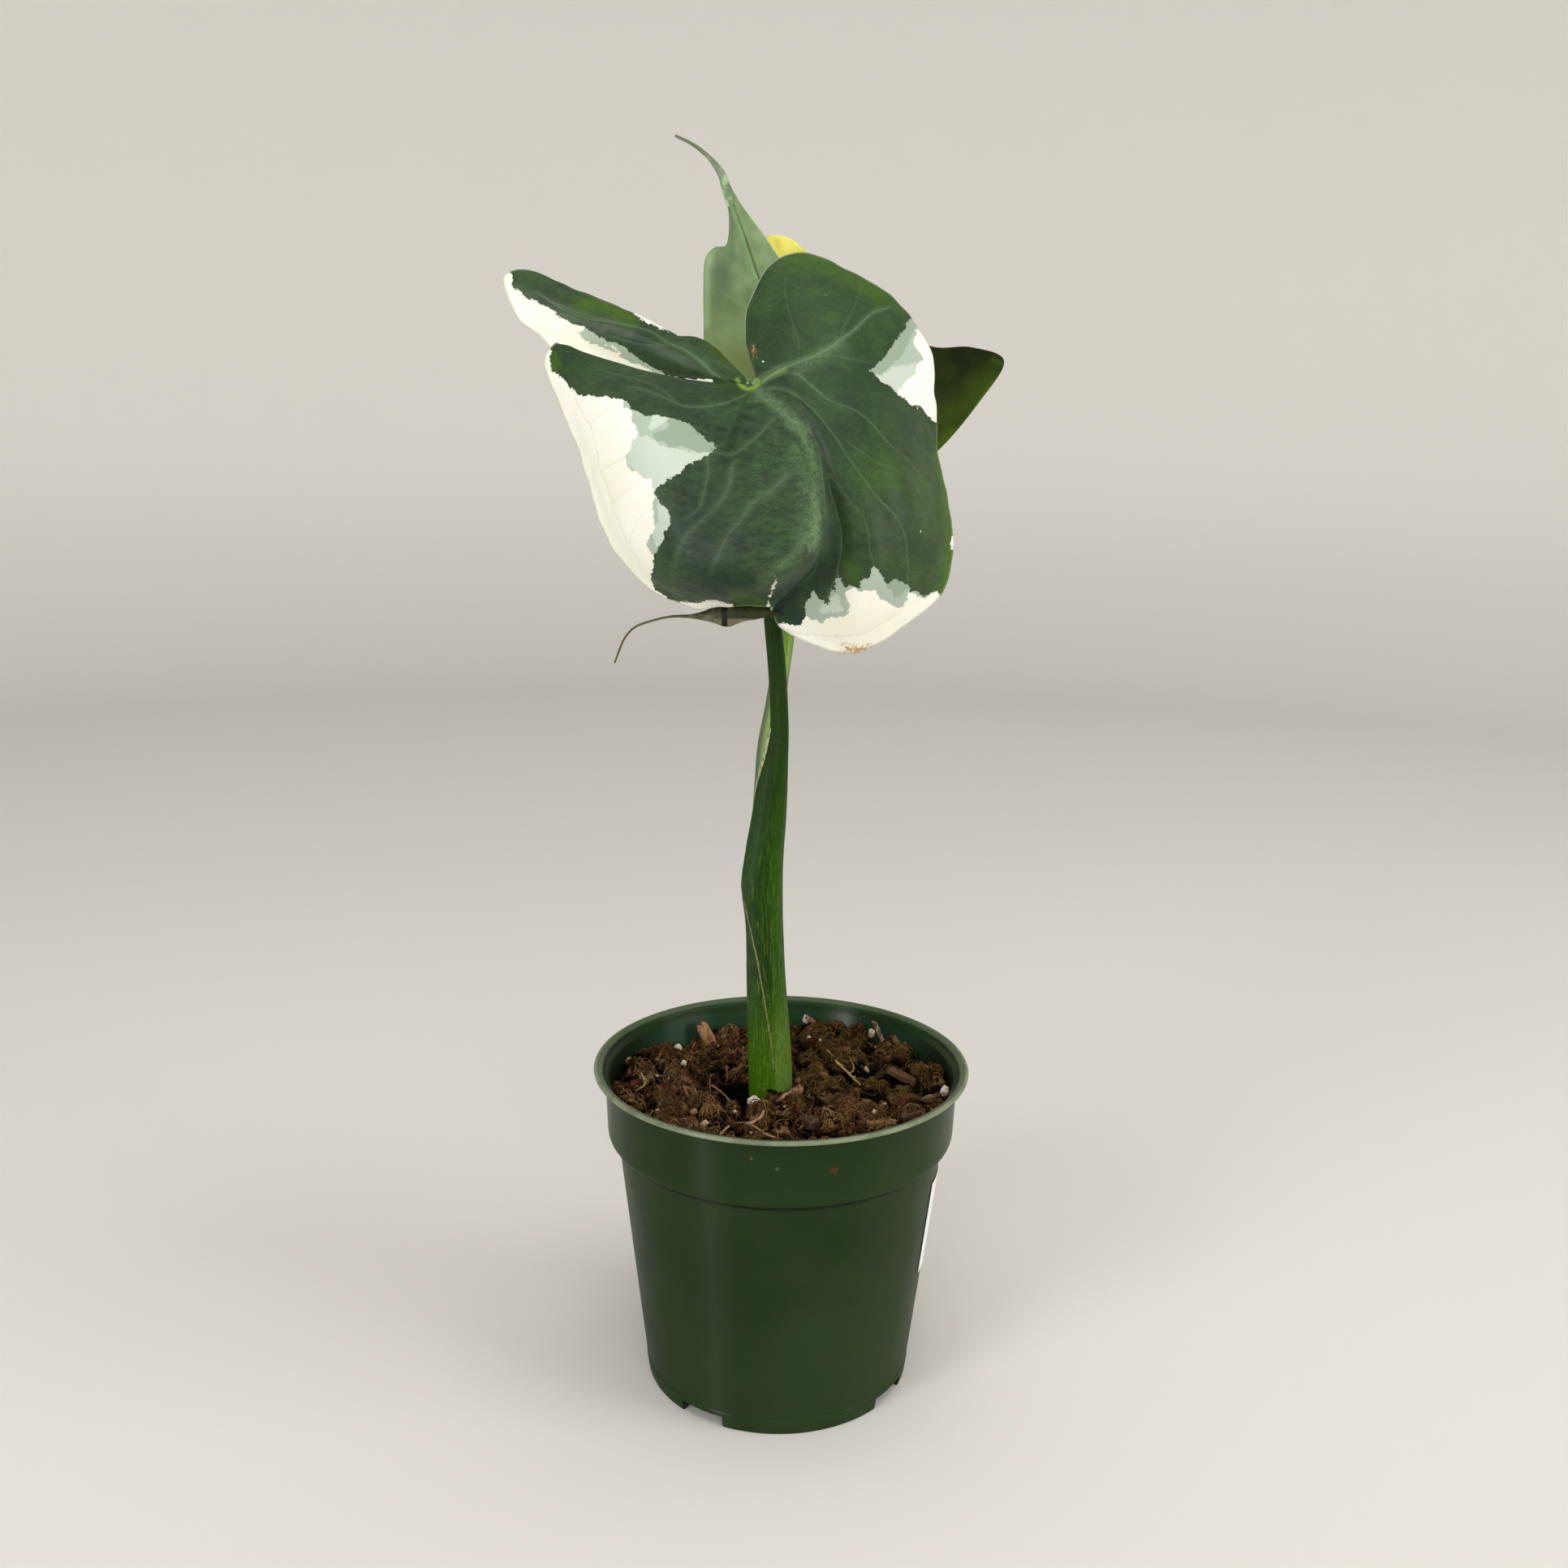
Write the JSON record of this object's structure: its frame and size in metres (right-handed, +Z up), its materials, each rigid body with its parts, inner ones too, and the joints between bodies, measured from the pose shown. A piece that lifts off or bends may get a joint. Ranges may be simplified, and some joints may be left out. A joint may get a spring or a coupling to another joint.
{
  "type": "potted variegated alocasia",
  "caption": "Young alocasia with cream-splashed, tail-tipped leaves on a sheathed stem, standing in a round green nursery pot of potting mix.",
  "frame": {"origin": "centre of the pot's underside, on the surface that the pot stands on", "axes": "+Z up along the pot's axis; -Y is the front, towards which the large leaf's upper face looks; +X is to the right seen from the front"},
  "size_m": [0.1347, 0.106, 0.3448],
  "materials": {
    "pot_plastic": "injection-moulded dark green polypropylene, soft gloss, light scuffs, paler worn lip",
    "label_paper": "blank white adhesive label, matt",
    "petiole_mature": "waxy dark green with fine lengthwise stripes",
    "petiole_young": "waxy light green, darker towards its base",
    "leaf_upper": "satin dark green with cream sectors and sage margins, pale veins",
    "leaf_under": "matt grey-green underside, yellow on the rolled margin",
    "corm": "brown fibrous skin with pale roots",
    "wood_chip": "weathered wood and bark",
    "straw": "dry straw",
    "perlite": "rough white expanded perlite",
    "potting_mix": "moist dark brown peat and coir, fibrous"
  },
  "bodies": {
    "root": {"pot": "pot_plastic", "pot_label": "label_paper", "petiole_front": "petiole_mature", "petiole_back": "petiole_young", "leaf_front": "leaf_upper", "leaf_back": "leaf_under", "corm_with_roots": "corm", "wood_chip_left": "wood_chip", "wood_chip_right": "wood_chip", "bark_piece": "wood_chip", "orange_chip": "wood_chip", "front_chip": "wood_chip", "straw_twig": "straw", "perlite_1": "perlite", "perlite_2": "perlite", "perlite_3": "perlite", "perlite_4": "perlite", "perlite_5": "perlite", "potting_mix": "potting_mix"}
  },
  "joints": []
}
